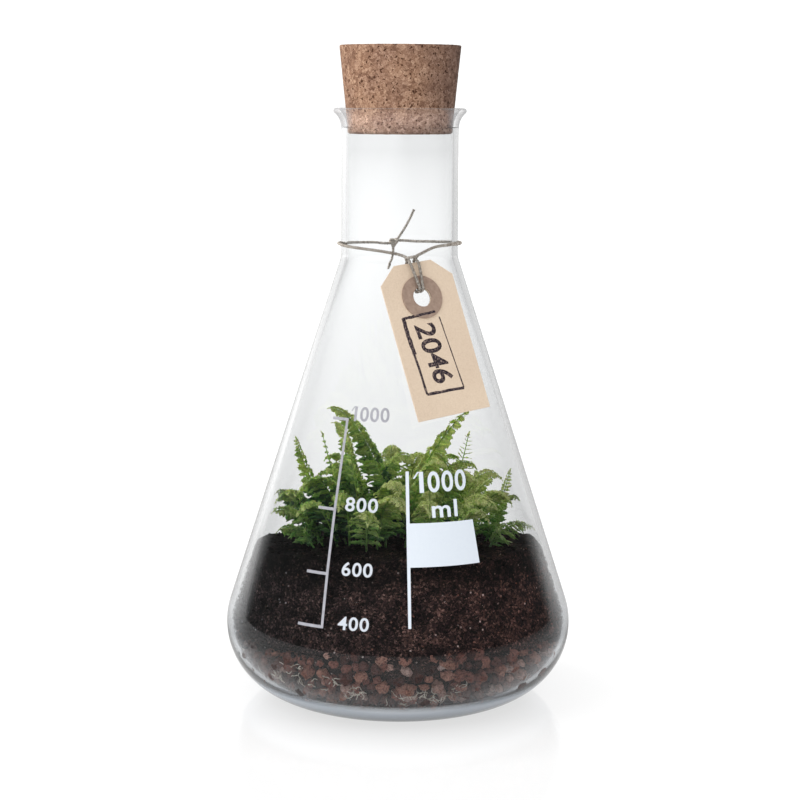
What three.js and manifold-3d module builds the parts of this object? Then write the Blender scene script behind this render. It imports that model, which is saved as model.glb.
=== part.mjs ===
// A closed fern garden: small ferns in soil over clay granules, in a conical laboratory flask with a cork,
// and a card tag tied round its neck. Millimetres, +Z up, origin on the table under the middle of the base.
import * as THREE from 'three';
import { mergeVertices } from 'three/addons/utils/BufferGeometryUtils.js';
import Module from 'manifold-3d';

const wasm = await Module();
wasm.setup();

// Flask, a one litre conical flask: outside sizes, then the glass itself
const bodyRadius = 65.5;
const heelRadius = 27.4;
const coneAngle = THREE.MathUtils.degToRad(17.96);
const neckRadius = 21.8;
const shoulderRadius = 6.8;
const flareRadius = 6.8;
const flareSweep = THREE.MathUtils.degToRad(50);
const rimHeight = 221.1;
const glassWall = 2.1;
const baseThickness = 4;
const innerHeelRadius = 23.5;
const pushUp = { height: 1.2, edgeHeight: 0.8, edgeRadius: 28, footRadius: 33 };
const flaskSides = 36;
const arcSteps = { heel: 6, innerHeel: 9, shoulder: 2, flare: 3, lip: 4 };

// Clearance kept between pieces that touch
const gap = 0.3;

// Cork stopper: how far it stands in and out of the mouth
const cork = { bottom: 211.8, top: 243.9, topRadius: 22.25, chamfer: 0.5, seatHeight: 214.3 };

// Drainage layer and soil: levels, how far granules and crumbs stand out, and the unevenness of the soil
const gravelLevel = 29;
const granuleRelief = 2.4;
const crumbRelief = 1.2;
const gravelSides = 60;
const soilLevel = 57.3;
const soilBankSlope = 0.09;
const soilRipple = { coarse: 0.9, coarseX: 33, coarseY: 27, fine: 0.6, fineWave: 57 };
const fillGap = 0.6;

// Fern: the blade, then how its leaflets point forwards, droop and vary, as shares of their length
const leaf = { thickness: 0.6, ribHalfWidth: 0.65, stalkShare: 0.16, pairs: 9, rootDepth: 6 };
const leaflet = { forward: 0.3, droop: 0.16, ragged: 0.12 };
const ruleFrondCount = 33;
const glassClearance = 1.2;
const soilClearance = 0.8;
const sharpestBend = 2;
const placingTries = 90;

// Tag, its rings and its twine
const tag = { width: 29.4, length: 56.9, thickness: 0.6, clipWidth: 7.15, clipLength: 6.5, holeBelowTop: 13 };
const tagPlace = { bearing: THREE.MathUtils.degToRad(26), standOff: 2.7, across: -5.5, along: -13.3 };
const tagTilt = THREE.MathUtils.degToRad(21.5);
const tagLean = THREE.MathUtils.degToRad(7.1);
const ring = { outerRadius: 7.9, holeRadius: 3.6, thickness: 0.4 };
const twineRadius = 0.6;
const twineSteps = { loose: 6 * twineRadius, tight: 2.2 * twineRadius };
const knotRadius = 1.7;

// Outline of the glass in the plane of radius and height. The cone's outer line is cos r + sin z = outerLine.
const cosCone = Math.cos(coneAngle);
const sinCone = Math.sin(coneAngle);
const heelCentre = new THREE.Vector2(bodyRadius - heelRadius, heelRadius);
const outerLine = cosCone * heelCentre.x + sinCone * heelCentre.y + heelRadius;
const innerLine = outerLine - glassWall;
const shoulderCentre = new THREE.Vector2(neckRadius + shoulderRadius, 0);
shoulderCentre.y = (outerLine + shoulderRadius - cosCone * shoulderCentre.x) / sinCone;
const innerHeelCentre = new THREE.Vector2(0, baseThickness + innerHeelRadius);
innerHeelCentre.x = (innerLine - innerHeelRadius - sinCone * innerHeelCentre.y) / cosCone;
const boreRadius = neckRadius - glassWall;
const lipRadius = glassWall / 2;
const lipReach = flareRadius + lipRadius;
const flareStart = rimHeight - lipRadius - lipReach * Math.sin(flareSweep);
const flareCentre = new THREE.Vector2(neckRadius + flareRadius, flareStart);

// Points of an arc, by its angle from straight outwards, turning upwards
function arc(centre, radius, from, to, steps) {
  const points = [];
  for (let i = 0; i <= steps; i += 1) {
    const angle = THREE.MathUtils.lerp(from, to, i / steps);
    points.push(new THREE.Vector2(centre.x + radius * Math.cos(angle), centre.y + radius * Math.sin(angle)));
  }
  return points;
}

function glassOutline() {
  const lipAngle = Math.PI - flareSweep;
  const lipCentre = arc(flareCentre, lipReach, lipAngle, lipAngle, 1)[0];
  return [
    new THREE.Vector2(0, pushUp.height),
    new THREE.Vector2(pushUp.edgeRadius, pushUp.edgeHeight),
    new THREE.Vector2(pushUp.footRadius, 0),
    ...arc(heelCentre, heelRadius, -Math.PI / 2, coneAngle, arcSteps.heel),
    ...arc(shoulderCentre, shoulderRadius, Math.PI + coneAngle, Math.PI, arcSteps.shoulder),
    ...arc(flareCentre, flareRadius, Math.PI, lipAngle, arcSteps.flare),
    ...arc(lipCentre, lipRadius, -flareSweep, lipAngle, arcSteps.lip).slice(1, -1),
    ...arc(flareCentre, flareRadius + glassWall, lipAngle, Math.PI, arcSteps.flare),
    ...arc(shoulderCentre, shoulderRadius + glassWall, Math.PI, Math.PI + coneAngle, arcSteps.shoulder),
    ...arc(innerHeelCentre, innerHeelRadius, coneAngle, -Math.PI / 2, arcSteps.innerHeel),
    new THREE.Vector2(0, baseThickness),
  ];
}

// Radius of the inside of the glass at a height between the base and the shoulder
function insideRadius(z) {
  const heelTop = innerHeelCentre.y + innerHeelRadius * sinCone;
  if (z > heelTop) {
    return (innerLine - sinCone * z) / cosCone;
  }
  const below = innerHeelCentre.y - z;
  return innerHeelCentre.x + Math.sqrt(Math.max(innerHeelRadius ** 2 - below ** 2, 0));
}

function outsideRadius(z) {
  return (outerLine - sinCone * z) / cosCone;
}

// Repeatable random numbers from 0 to 1
function randomFrom(seed) {
  let state = seed;
  return () => {
    state = (Math.imul(state, 1664525) + 1013904223) >>> 0;
    return state / 4294967296;
  };
}

function turned(outline, sides) {
  return new THREE.LatheGeometry(outline, sides).rotateX(Math.PI / 2);
}

// A geometry from corner points and triangles of their numbers
function meshOf(points, triangles) {
  const geometry = new THREE.BufferGeometry();
  geometry.setAttribute('position', new THREE.Float32BufferAttribute(points.flatMap((p) => p.toArray()), 3));
  geometry.setIndex(triangles.flat());
  return geometry;
}

// A solid for cutting and joining, and back again
function solidOf(geometry) {
  const bare = geometry.clone();
  bare.deleteAttribute('normal');
  bare.deleteAttribute('uv');
  const merged = mergeVertices(bare, 1e-4);
  const vertProperties = new Float32Array(merged.attributes.position.array);
  const triVerts = new Uint32Array(merged.index.array);
  return new wasm.Manifold(new wasm.Mesh({ numProp: 3, vertProperties, triVerts }));
}

function geometryOf(solid) {
  const mesh = solid.getMesh();
  const geometry = new THREE.BufferGeometry();
  geometry.setAttribute('position', new THREE.Float32BufferAttribute(mesh.vertProperties, 3));
  geometry.setIndex(Array.from(mesh.triVerts));
  return geometry;
}

// A closed skin over rings of points, with one point on the axis below them and one above
function skinned(bottom, rings, top) {
  const count = rings[0].length;
  const points = [bottom, ...rings.flat(), top];
  const last = points.length - 1;
  const triangles = [];
  for (let i = 0; i < count; i += 1) {
    const next = (i + 1) % count;
    triangles.push([0, 1 + next, 1 + i]);
    for (let row = 0; row < rings.length - 1; row += 1) {
      const low = 1 + row * count;
      const high = low + count;
      triangles.push([low + i, low + next, high + next], [low + i, high + next, high + i]);
    }
    triangles.push([last, last - count + i, last - count + next]);
  }
  return meshOf(points, triangles);
}

// Level of the top of the soil, which is uneven and banked up against the front
function soilTop(x, y) {
  const turn = 2 * Math.PI;
  const { coarse, coarseX, coarseY, fine, fineWave } = soilRipple;
  const swell = coarse * Math.sin((turn * x) / coarseX + 0.6) * Math.cos((turn * y) / coarseY);
  return soilLevel - soilBankSlope * y + swell + fine * Math.sin((turn * (x + y)) / fineWave);
}

function ringAt(sides, pointAt) {
  return Array.from({ length: sides }, (_, i) => pointAt((2 * Math.PI * i) / sides));
}

// A filling between two levels, whose side follows the glass. The relief draws each side point in at random.
function filling({ sides, lowLevel, highLevel, sideRows, topRings, relief, seed }) {
  const random = randomFrom(seed);
  const rings = [];
  const levelRing = (level, share) => ringAt(sides, (angle) => {
    const edge = insideRadius(level(0, 0)) - fillGap - relief;
    const x = edge * share * Math.cos(angle);
    const y = edge * share * Math.sin(angle);
    return new THREE.Vector3(x, y, level(x, y));
  });
  rings.push(levelRing(lowLevel, 0.5));
  for (let row = 0; row <= sideRows; row += 1) {
    rings.push(ringAt(sides, (angle) => {
      const reach = insideRadius(lowLevel(0, 0)) - fillGap;
      const low = lowLevel(reach * Math.cos(angle), reach * Math.sin(angle));
      const high = highLevel(reach * Math.cos(angle), reach * Math.sin(angle));
      const z = THREE.MathUtils.lerp(low, high, row / sideRows);
      const radius = insideRadius(z) - fillGap - relief * random();
      return new THREE.Vector3(radius * Math.cos(angle), radius * Math.sin(angle), z);
    }));
  }
  for (let row = topRings; row > 0; row -= 1) {
    rings.push(levelRing(highLevel, row / (topRings + 1)));
  }
  return skinned(new THREE.Vector3(0, 0, lowLevel(0, 0)), rings, new THREE.Vector3(0, 0, highLevel(0, 0)));
}

// Corner points of a frond's stalk and rib at one place: top left, top right, bottom right, bottom left
function ribCorners(place, halfWidth, halfThickness) {
  const side = place.side.clone().multiplyScalar(halfWidth);
  const up = place.normal.clone().multiplyScalar(halfThickness);
  return [
    place.point.clone().sub(side).add(up),
    place.point.clone().add(side).add(up),
    place.point.clone().add(side).sub(up),
    place.point.clone().sub(side).sub(up),
  ];
}

// The midline of a frond rises from its foot and bends over towards its tip
function frondLine(frond) {
  const foot = new THREE.Vector3(frond.foot[0], frond.foot[1], soilTop(...frond.foot));
  const tip = new THREE.Vector3(...frond.tip);
  const bend = foot.clone().lerp(tip, frond.bend[0]);
  bend.z = foot.z + (tip.z - foot.z) * frond.bend[1];
  return new THREE.QuadraticBezierCurve3(foot, bend, tip);
}

function placeOn(line, share, roll) {
  const tangent = line.getTangent(share);
  const across = line.v2.clone().sub(line.v0).setZ(0).normalize();
  const level = new THREE.Vector3(-across.y, across.x, 0);
  const side = level.applyAxisAngle(tangent, roll);
  const normal = tangent.clone().cross(side);
  return { point: line.getPoint(share), tangent, side: side.negate(), normal };
}

// Half width of the blade along it: narrower at the stalk, widest at about a third, tapering to the tip
function bladeShape(share) {
  const widening = Math.min(0.55 + 1.6 * share, 1);
  const taper = 1 - 1.24 * Math.max(share - 0.3, 0) ** 1.3;
  return widening * taper;
}

// How sharply a frond's blade bends for its width. Above sharpestBend its leaflets would cross each other.
function bendFor(frond) {
  const line = frondLine(frond);
  const step = (1 - leaf.stalkShare) / leaf.pairs;
  let sharpest = 0;
  for (let i = 0; i < leaf.pairs; i += 1) {
    const near = leaf.stalkShare + i * step;
    const turn = line.getTangent(near).angleTo(line.getTangent(near + step));
    const distance = line.getPoint(near).distanceTo(line.getPoint(near + step));
    sharpest = Math.max(sharpest, (turn * frond.halfWidth) / distance);
  }
  return sharpest;
}

// One frond: a stalk from below the soil, then a thin arched blade cut to the rib into leaflets.
// grow thickens and lengthens it all round, to test that it clears its neighbours.
function frondSolid(frond, grow = 0) {
  const line = frondLine(frond);
  const half = leaf.thickness / 2 + grow;
  const rib = leaf.ribHalfWidth + grow;
  const start = placeOn(line, 0, frond.roll);
  const buried = { ...start, point: start.point.clone().addScaledVector(start.tangent, -leaf.rootDepth) };
  const bladeAt = (i) => leaf.stalkShare + (1 - leaf.stalkShare) * (i / (leaf.pairs + 0.7));
  const places = [buried, start, placeOn(line, leaf.stalkShare / 2, frond.roll)];
  for (let i = 0; i <= leaf.pairs; i += 1) {
    places.push(placeOn(line, bladeAt(i), frond.roll));
  }
  const points = places.flatMap((place) => ribCorners(place, rib, half));
  const triangles = [[0, 2, 1], [0, 3, 2]];
  const quad = (a, b, c, d) => triangles.push([a, b, c], [a, c, d]);
  const stalkRings = places.length - leaf.pairs - 1;
  for (let i = 0; i < places.length - 1; i += 1) {
    const near = 4 * i;
    const far = near + 4;
    quad(near, near + 1, far + 1, far);
    quad(near + 3, far + 3, far + 2, near + 2);
    if (i < stalkRings) {
      quad(near, far, far + 3, near + 3);
      quad(near + 1, near + 2, far + 2, far + 1);
      continue;
    }
    const share = (i - stalkRings + 0.5) / leaf.pairs;
    const middle = placeOn(line, bladeAt(share * leaf.pairs), frond.roll);
    const reach = frond.halfWidth * bladeShape(share) + grow;
    for (const hand of [-1, 1]) {
      const length = reach * (1 + leaflet.ragged * Math.sin(7.3 * i + 2 * hand + 5 * frond.roll));
      const end = middle.point.clone()
        .addScaledVector(middle.side, hand * length)
        .addScaledVector(middle.tangent, leaflet.forward * reach)
        .addScaledVector(middle.normal, -leaflet.droop * reach);
      const topEnd = points.push(end.clone().addScaledVector(middle.normal, half)) - 1;
      const bottomEnd = points.push(end.clone().addScaledVector(middle.normal, -half)) - 1;
      const [rootTop, rootBottom] = hand < 0 ? [near, near + 3] : [near + 1, near + 2];
      const [nextTop, nextBottom] = hand < 0 ? [far, far + 3] : [far + 1, far + 2];
      const sides = [
        [rootTop, nextTop, topEnd], [rootBottom, bottomEnd, nextBottom],
        [rootTop, topEnd, bottomEnd], [rootTop, bottomEnd, rootBottom],
        [topEnd, nextTop, nextBottom], [topEnd, nextBottom, bottomEnd],
      ];
      triangles.push(...(hand < 0 ? sides : sides.map(([a, b, c]) => [a, c, b])));
    }
  }
  const last = 4 * (places.length - 1);
  const end = placeOn(line, 1, frond.roll);
  const topEnd = points.push(end.point.clone().addScaledVector(end.normal, half)) - 1;
  const bottomEnd = points.push(end.point.clone().addScaledVector(end.normal, -half)) - 1;
  triangles.push([last, last + 1, topEnd], [last + 3, bottomEnd, last + 2]);
  triangles.push([last, topEnd, bottomEnd], [last, bottomEnd, last + 3]);
  triangles.push([last + 1, bottomEnd, topEnd], [last + 1, last + 2, bottomEnd]);
  return meshOf(points, triangles);
}

// The plain hole in the soil that a frond's stalk stands in
function stalkHole(frond) {
  const line = frondLine(frond);
  const start = placeOn(line, 0, frond.roll);
  const at = (distance) => ({ ...start, point: start.point.clone().addScaledVector(start.tangent, distance) });
  const ends = [at(-leaf.rootDepth - gap), at(3)];
  const points = ends.flatMap((place) => ribCorners(place, leaf.ribHalfWidth + gap, leaf.thickness / 2 + gap));
  const triangles = [[0, 2, 1], [0, 3, 2], [4, 5, 6], [4, 6, 7]];
  for (let i = 0; i < 4; i += 1) {
    const next = (i + 1) % 4;
    triangles.push([i, next, 4 + next], [i, 4 + next, 4 + i]);
  }
  return meshOf(points, triangles);
}

// Lead fronds, chosen by hand: foot, tip, the shares of reach and rise where the midline bends, half width
const leadFronds = [
  { foot: [2, 0], tip: [-25.5, -1, 109], bend: [0.58, 1.0], halfWidth: 5, roll: 0.9 },
  { foot: [-14, -8], tip: [-23.5, -6, 104], bend: [0.3, 0.98], halfWidth: 4.5, roll: 0.7 },
  { foot: [-19, 9], tip: [-29.5, 8, 98], bend: [0.5, 0.5], halfWidth: 3, roll: 0.8 },
  { foot: [-22, -2], tip: [-38.5, -3, 97.5], bend: [0.8, 0.66], halfWidth: 4, roll: -0.7 },
  { foot: [1, 6], tip: [27, 7, 108], bend: [0.2, 0.6], halfWidth: 5, roll: -0.9 },
  { foot: [16, 6], tip: [27, 9, 97.5], bend: [0.7, 0.6], halfWidth: 3.5, roll: 0.8 },
  { foot: [27, -4], tip: [13.5, -5, 92.5], bend: [0.5, 1.0], halfWidth: 5.5, roll: 0.6 },
  { foot: [17, -11], tip: [35.5, -13, 85.5], bend: [0.5, 0.75], halfWidth: 6, roll: -0.6 },
  { foot: [33, -3], tip: [42, -2, 85], bend: [0.75, 0.6], halfWidth: 4.5, roll: 0.9 },
  { foot: [34, -14], tip: [49, -13, 66], bend: [0.5, 1.6], halfWidth: 6, roll: 0.4 },
  { foot: [-28, -12], tip: [-46, -10, 71], bend: [0.55, 1.3], halfWidth: 6.5, roll: 0.4 },
  { foot: [-12, 12], tip: [5, 10, 88], bend: [0.45, 1.2], halfWidth: 6, roll: 0.7 },
  { foot: [-31, -21], tip: [-43, -24, 67], bend: [0.5, 1.5], halfWidth: 7, roll: 0.3 },
  { foot: [-32, 5], tip: [-48, 6, 75], bend: [0.6, 1.1], halfWidth: 7, roll: 0.5 },
  { foot: [36, 8], tip: [49, 10, 72], bend: [0.5, 1.3], halfWidth: 7, roll: -0.4 },
];

// The other fronds stand in a spiral from the middle outwards, upright inside and low and spreading outside
function ruleFrond(i, random) {
  const goldenAngle = Math.PI * (3 - Math.sqrt(5));
  const share = Math.sqrt((i + 0.5) / ruleFrondCount);
  const bearing = i * goldenAngle + 0.5 * (random() - 0.5);
  const rise = THREE.MathUtils.lerp(33, 12, share ** 1.5) + 8 * (random() - 0.5);
  const footReach = 30 * share + 3 * random();
  const foot = [footReach * Math.cos(bearing), footReach * Math.sin(bearing)];
  const lean = bearing + 0.9 * (random() - 0.5);
  const roomAtTip = insideRadius(soilLevel + rise) - 3.5;
  const tipReach = Math.min(footReach + 13 + 13 * random(), roomAtTip);
  return {
    foot,
    tip: [tipReach * Math.cos(lean), tipReach * Math.sin(lean), soilTop(...foot) + rise],
    bend: [0.25 + 0.3 * random(), 1.15 + 0.55 * share],
    halfWidth: 6.5 + 2 * random(),
    roll: 1.2 * (random() - 0.5),
  };
}

// True when a frond stays inside the glass and above the soil
function standsFree(geometry) {
  const position = geometry.attributes.position;
  for (let i = 8; i < position.count; i += 1) {
    const x = position.getX(i);
    const y = position.getY(i);
    const z = position.getZ(i);
    if (Math.hypot(x, y) > insideRadius(z) - glassClearance || z < soilTop(x, y) + soilClearance) {
      return false;
    }
  }
  return true;
}

// Fronds are placed one after another. One that would cross another is turned, moved or narrowed till clear.
function placeFronds() {
  const random = randomFrom(20);
  const placed = [];
  const nudge = (frond, size) => ({
    ...frond,
    foot: frond.foot.map((v) => v + size * (random() - 0.5)),
    tip: frond.tip.map((v, axis) => v + (axis < 2 ? 1.2 : 0.5) * size * (random() - 0.5)),
    halfWidth: frond.halfWidth * (1 - 0.04 * size * random()),
    roll: frond.roll + 0.25 * size * (random() - 0.5),
  });
  const growing = (attempt) => 1 + attempt / 12;
  const isClear = (box, solid) => placed
    .filter((other) => other.box.intersectsBox(box))
    .every((other) => other.solid.intersect(solid).isEmpty());
  const tryToPlace = (candidateAt) => {
    for (let attempt = 0; attempt < placingTries; attempt += 1) {
      const frond = candidateAt(attempt);
      if (bendFor(frond) > sharpestBend || !standsFree(frondSolid(frond))) {
        continue;
      }
      const grown = frondSolid(frond, gap);
      grown.computeBoundingBox();
      const solid = solidOf(grown);
      const clear = isClear(grown.boundingBox, solid);
      solid.delete();
      if (clear) {
        placed.push({ frond, box: grown.boundingBox, solid: solidOf(frondSolid(frond)) });
        return;
      }
    }
  };
  leadFronds.forEach((frond) => tryToPlace((attempt) => (attempt ? nudge(frond, growing(attempt)) : frond)));
  for (let i = 0; i < ruleFrondCount; i += 1) {
    tryToPlace((attempt) => nudge(ruleFrond(i, random), growing(attempt)));
  }
  return placed.map(({ frond }) => frond);
}

// The tag hangs over the cone at its bearing, clear of the twine behind it, and stands off a little lower down
function placeTag(group) {
  const { bearing, standOff, across, along } = tagPlace;
  const level = new THREE.Vector3(Math.cos(bearing), Math.sin(bearing), 0);
  const outward = new THREE.Vector3(Math.sin(bearing), -Math.cos(bearing), 0);
  outward.multiplyScalar(Math.cos(tagTilt)).setZ(Math.sin(tagTilt));
  const upSlope = outward.clone().cross(level);
  const shoulderZ = shoulderCentre.y - shoulderRadius * sinCone;
  const shoulderR = outsideRadius(shoulderZ);
  const origin = new THREE.Vector3(Math.sin(bearing) * shoulderR, -Math.cos(bearing) * shoulderR, shoulderZ);
  origin.addScaledVector(outward, standOff).addScaledVector(level, across).addScaledVector(upSlope, along);
  const turn = new THREE.Matrix4().makeBasis(level, upSlope, outward);
  group.quaternion.setFromRotationMatrix(turn);
  group.rotateZ(tagLean);
  group.position.copy(origin);
  group.updateMatrixWorld(true);
}

function tagGeometry() {
  const half = tag.width / 2;
  const top = tag.holeBelowTop;
  const card = new THREE.Shape([
    new THREE.Vector2(-half, top - tag.length),
    new THREE.Vector2(half, top - tag.length),
    new THREE.Vector2(half, top - tag.clipLength),
    new THREE.Vector2(half - tag.clipWidth, top),
    new THREE.Vector2(tag.clipWidth - half, top),
    new THREE.Vector2(-half, top - tag.clipLength),
  ]);
  card.holes.push(new THREE.Path().absarc(0, 0, ring.holeRadius, 0, 2 * Math.PI, true));
  const settings = { depth: tag.thickness, bevelEnabled: false, curveSegments: 10 };
  return new THREE.ExtrudeGeometry(card, settings).translate(0, 0, -tag.thickness / 2);
}

function ringGeometry() {
  const washer = new THREE.Shape().absarc(0, 0, ring.outerRadius, 0, 2 * Math.PI, false);
  washer.holes.push(new THREE.Path().absarc(0, 0, ring.holeRadius, 0, 2 * Math.PI, true));
  return new THREE.ExtrudeGeometry(washer, { depth: ring.thickness, bevelEnabled: false, curveSegments: 10 });
}

// Twine as an eight-sided tube along points chosen by hand
function twineTube(points, step = twineSteps.loose) {
  const path = new THREE.CatmullRomCurve3(points, false, 'centripetal');
  const section = new THREE.Shape().absarc(0, 0, twineRadius, 0, 2 * Math.PI, false);
  const steps = Math.max(2, Math.round(path.getLength() / step));
  const settings = { steps, bevelEnabled: false, curveSegments: 4, extrudePath: path };
  return solidOf(new THREE.ExtrudeGeometry(section, settings));
}

// Points round the neck or over the shoulder: bearing from the front towards +X, height, extra stand-off
function roundNeck(stops) {
  return stops.map(([degrees, z, extra]) => {
    const angle = THREE.MathUtils.degToRad(degrees);
    const glass = Math.max(neckRadius, z < shoulderCentre.y ? outsideRadius(z) + 0.5 : 0);
    const radius = glass + gap + twineRadius + extra;
    return new THREE.Vector3(radius * Math.sin(angle), -radius * Math.cos(angle), z);
  });
}

// The twine is one string: knotted behind the neck, round it on both sides to the front, down through the
// tag's hole, and up behind the tag in a bight that takes both strands at the tag's top edge.
function twineGeometry(tagGroup) {
  const onTag = ([x, y, lift]) => tagGroup.localToWorld(new THREE.Vector3(x, y, lift));
  const face = tag.thickness / 2 + ring.thickness + 2 * gap + twineRadius;
  const top = tag.holeBelowTop + gap + twineRadius;
  const hang = ring.holeRadius - gap - twineRadius - 0.4;
  const knot = [-174, 170, 0.9];
  const leftStrand = roundNeck([
    knot, [-150, 170.2, 0.1], [-120, 170.7, 0], [-95, 171.2, 0], [-75, 171.3, 0],
    [-55, 171, 0], [-32, 170.6, 0], [-12, 169.8, 0.2], [2, 168.7, 0.7],
  ]);
  const rightStrand = roundNeck([
    knot, [160, 170.5, 0.1], [130, 170.9, 0], [100, 171.5, 0], [77, 171.6, 0],
    [52, 171.8, 0], [34, 171.3, 0], [22, 169.6, 0.2],
  ]);
  const legTop = (hand) => onTag([1.6 * hand, top + 0.6, 0.9]);
  const legAndBight = (hand) => [
    [1.6 * hand, top + 0.6, 0.9], [1.6 * hand, top - 2, face], [0.9 * hand, 5.4, face],
    [0.65 * hand, hang + 1.3, face], [0.65 * hand, hang + 0.4, 0.8 * face], [0.65 * hand, hang, 0],
    [0.65 * hand, hang + 0.4, -0.8 * face], [0.65 * hand, hang + 1.3, -face],
    [0.9 * hand, 5.4, -face], [1.6 * hand, top - 2, -face], [1.6 * hand, top + 0.4, -0.6],
  ].map(onTag);
  const bightOverStrands = [
    [-1.5, top + 0.4, -0.6], [-2.2, top + 1, 0.9], [-1.4, top + 0.7, 2.3], [0, top + 0.6, 2.7],
    [1.3, top + 0.7, 2.3], [2.1, top + 1, 0.9], [1.5, top + 0.4, -0.6],
  ].map(onTag);
  const upperTail = roundNeck([knot, [178, 173.6, 0.5], [171, 178, 0.2], [165, 182.6, 0.1]]);
  const lowerTail = roundNeck([knot, [-173.6, 166.6, 0.5], [-172, 163, 0.4], [-169.5, 159.6, 0.5]]);
  const solids = [
    twineTube([...leftStrand, legTop(-1)]),
    twineTube([...rightStrand, legTop(1)]),
    twineTube(legAndBight(-1), twineSteps.tight),
    twineTube(legAndBight(1), twineSteps.tight),
    twineTube(bightOverStrands, twineSteps.tight),
    twineTube(upperTail),
    twineTube(lowerTail),
    solidOf(new THREE.IcosahedronGeometry(knotRadius, 1).translate(...leftStrand[0].toArray())),
  ];
  return geometryOf(solids.reduce((whole, next) => whole.add(next)));
}

function corkOutline() {
  const seatRadius = boreRadius - gap;
  return [
    new THREE.Vector2(0, cork.bottom),
    new THREE.Vector2(seatRadius - cork.chamfer, cork.bottom),
    new THREE.Vector2(seatRadius, cork.bottom + cork.chamfer),
    new THREE.Vector2(seatRadius, cork.seatHeight),
    new THREE.Vector2(cork.topRadius, cork.top - cork.chamfer),
    new THREE.Vector2(cork.topRadius - cork.chamfer, cork.top),
    new THREE.Vector2(0, cork.top),
  ];
}

function gravelGeometry() {
  return filling({
    sides: gravelSides,
    lowLevel: () => baseThickness + fillGap,
    highLevel: () => gravelLevel,
    sideRows: 7,
    topRings: 1,
    relief: granuleRelief,
    seed: 3,
  });
}

function soilGeometry(fronds) {
  const heap = filling({
    sides: flaskSides,
    lowLevel: () => gravelLevel + gap,
    highLevel: soilTop,
    sideRows: 3,
    topRings: 5,
    relief: crumbRelief,
    seed: 5,
  });
  const holes = fronds.map((frond) => solidOf(stalkHole(frond)));
  return geometryOf(solidOf(heap).subtract(holes.reduce((whole, next) => whole.add(next))));
}

// Materials, one for each finish
const clear = { transparent: true, opacity: 0.25 };
const glass = new THREE.MeshStandardMaterial({ color: 0xeef4f4, roughness: 0.02, metalness: 0, ...clear });
const pressedCork = new THREE.MeshStandardMaterial({ color: 0xb98a5a, roughness: 0.85, metalness: 0 });
const bakedClay = new THREE.MeshStandardMaterial({ color: 0x8a4f3c, roughness: 0.9, metalness: 0 });
const pottingSoil = new THREE.MeshStandardMaterial({ color: 0x2e221c, roughness: 1, metalness: 0 });
const fern = new THREE.MeshStandardMaterial({ color: 0x6f9440, roughness: 0.55, metalness: 0 });
const card = new THREE.MeshStandardMaterial({ color: 0xe1cdb4, roughness: 0.9, metalness: 0 });
const fibreRing = new THREE.MeshStandardMaterial({ color: 0x9c8277, roughness: 0.85, metalness: 0 });
const string = new THREE.MeshStandardMaterial({ color: 0xa79c90, roughness: 0.95, metalness: 0 });

function piece(name, geometry, material) {
  const mesh = new THREE.Mesh(geometry, material);
  mesh.name = name;
  return mesh;
}

const terrarium = new THREE.Group();
terrarium.add(piece('flask', turned(glassOutline(), flaskSides), glass));
terrarium.add(piece('cork_stopper', turned(corkOutline(), flaskSides), pressedCork));
terrarium.add(piece('gravel_layer', gravelGeometry(), bakedClay));

const fronds = placeFronds();
terrarium.add(piece('soil', soilGeometry(fronds), pottingSoil));
fronds.forEach((frond, i) => {
  terrarium.add(piece(`frond_${String(i + 1).padStart(2, '0')}`, frondSolid(frond), fern));
});

const tagGroup = new THREE.Group();
placeTag(tagGroup);
tagGroup.add(piece('tag', tagGeometry(), card));
const frontRing = piece('tag_ring_front', ringGeometry(), fibreRing);
frontRing.position.z = tag.thickness / 2 + gap;
const backRing = piece('tag_ring_back', ringGeometry(), fibreRing);
backRing.position.z = -tag.thickness / 2 - gap - ring.thickness;
tagGroup.add(frontRing, backRing);
terrarium.add(tagGroup);
terrarium.add(piece('twine', twineGeometry(tagGroup), string));

export default terrarium;
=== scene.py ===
import random
from math import atan2, cos, degrees, hypot, pi, radians, sin, sqrt

import bpy
import numpy as np
from mathutils import Matrix, Vector


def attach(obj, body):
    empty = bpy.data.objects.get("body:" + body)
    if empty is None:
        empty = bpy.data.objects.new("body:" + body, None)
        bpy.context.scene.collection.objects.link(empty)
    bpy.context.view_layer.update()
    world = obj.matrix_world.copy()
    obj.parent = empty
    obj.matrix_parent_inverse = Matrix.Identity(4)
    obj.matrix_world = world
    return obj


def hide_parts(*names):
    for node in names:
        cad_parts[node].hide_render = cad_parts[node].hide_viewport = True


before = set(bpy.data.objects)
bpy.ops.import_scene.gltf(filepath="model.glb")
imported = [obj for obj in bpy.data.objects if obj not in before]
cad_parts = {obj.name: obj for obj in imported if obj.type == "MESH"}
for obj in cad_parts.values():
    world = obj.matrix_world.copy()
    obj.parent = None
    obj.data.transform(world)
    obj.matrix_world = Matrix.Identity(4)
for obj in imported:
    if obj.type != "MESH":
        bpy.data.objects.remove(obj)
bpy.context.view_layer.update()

# ---- Camera ----
# The viewpoint of the photograph: 0.7 m in front of the flask, a little above the glass rim, tilted down
# by 9 degrees.
mm = 0.001
camera_distance, camera_height, tilt_down, lean = 700.5, 225.7, 0.1608, 0.0044
bpy.ops.object.select_all(action="DESELECT")
looking = Matrix.Rotation(pi / 2 - tilt_down, 3, "X") @ Matrix.Rotation(lean, 3, "Z")
standpoint = (0, -camera_distance * mm, camera_height * mm)
bpy.ops.object.camera_add(location=standpoint, rotation=looking.to_euler())
camera = bpy.context.object
camera.name = "camera"
camera.data.lens = 84.53
camera.data.sensor_width = 36
camera.data.shift_x = 0.00143
camera.data.clip_start = 0.01
camera.data.clip_end = 60
bpy.context.scene.camera = camera

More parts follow.
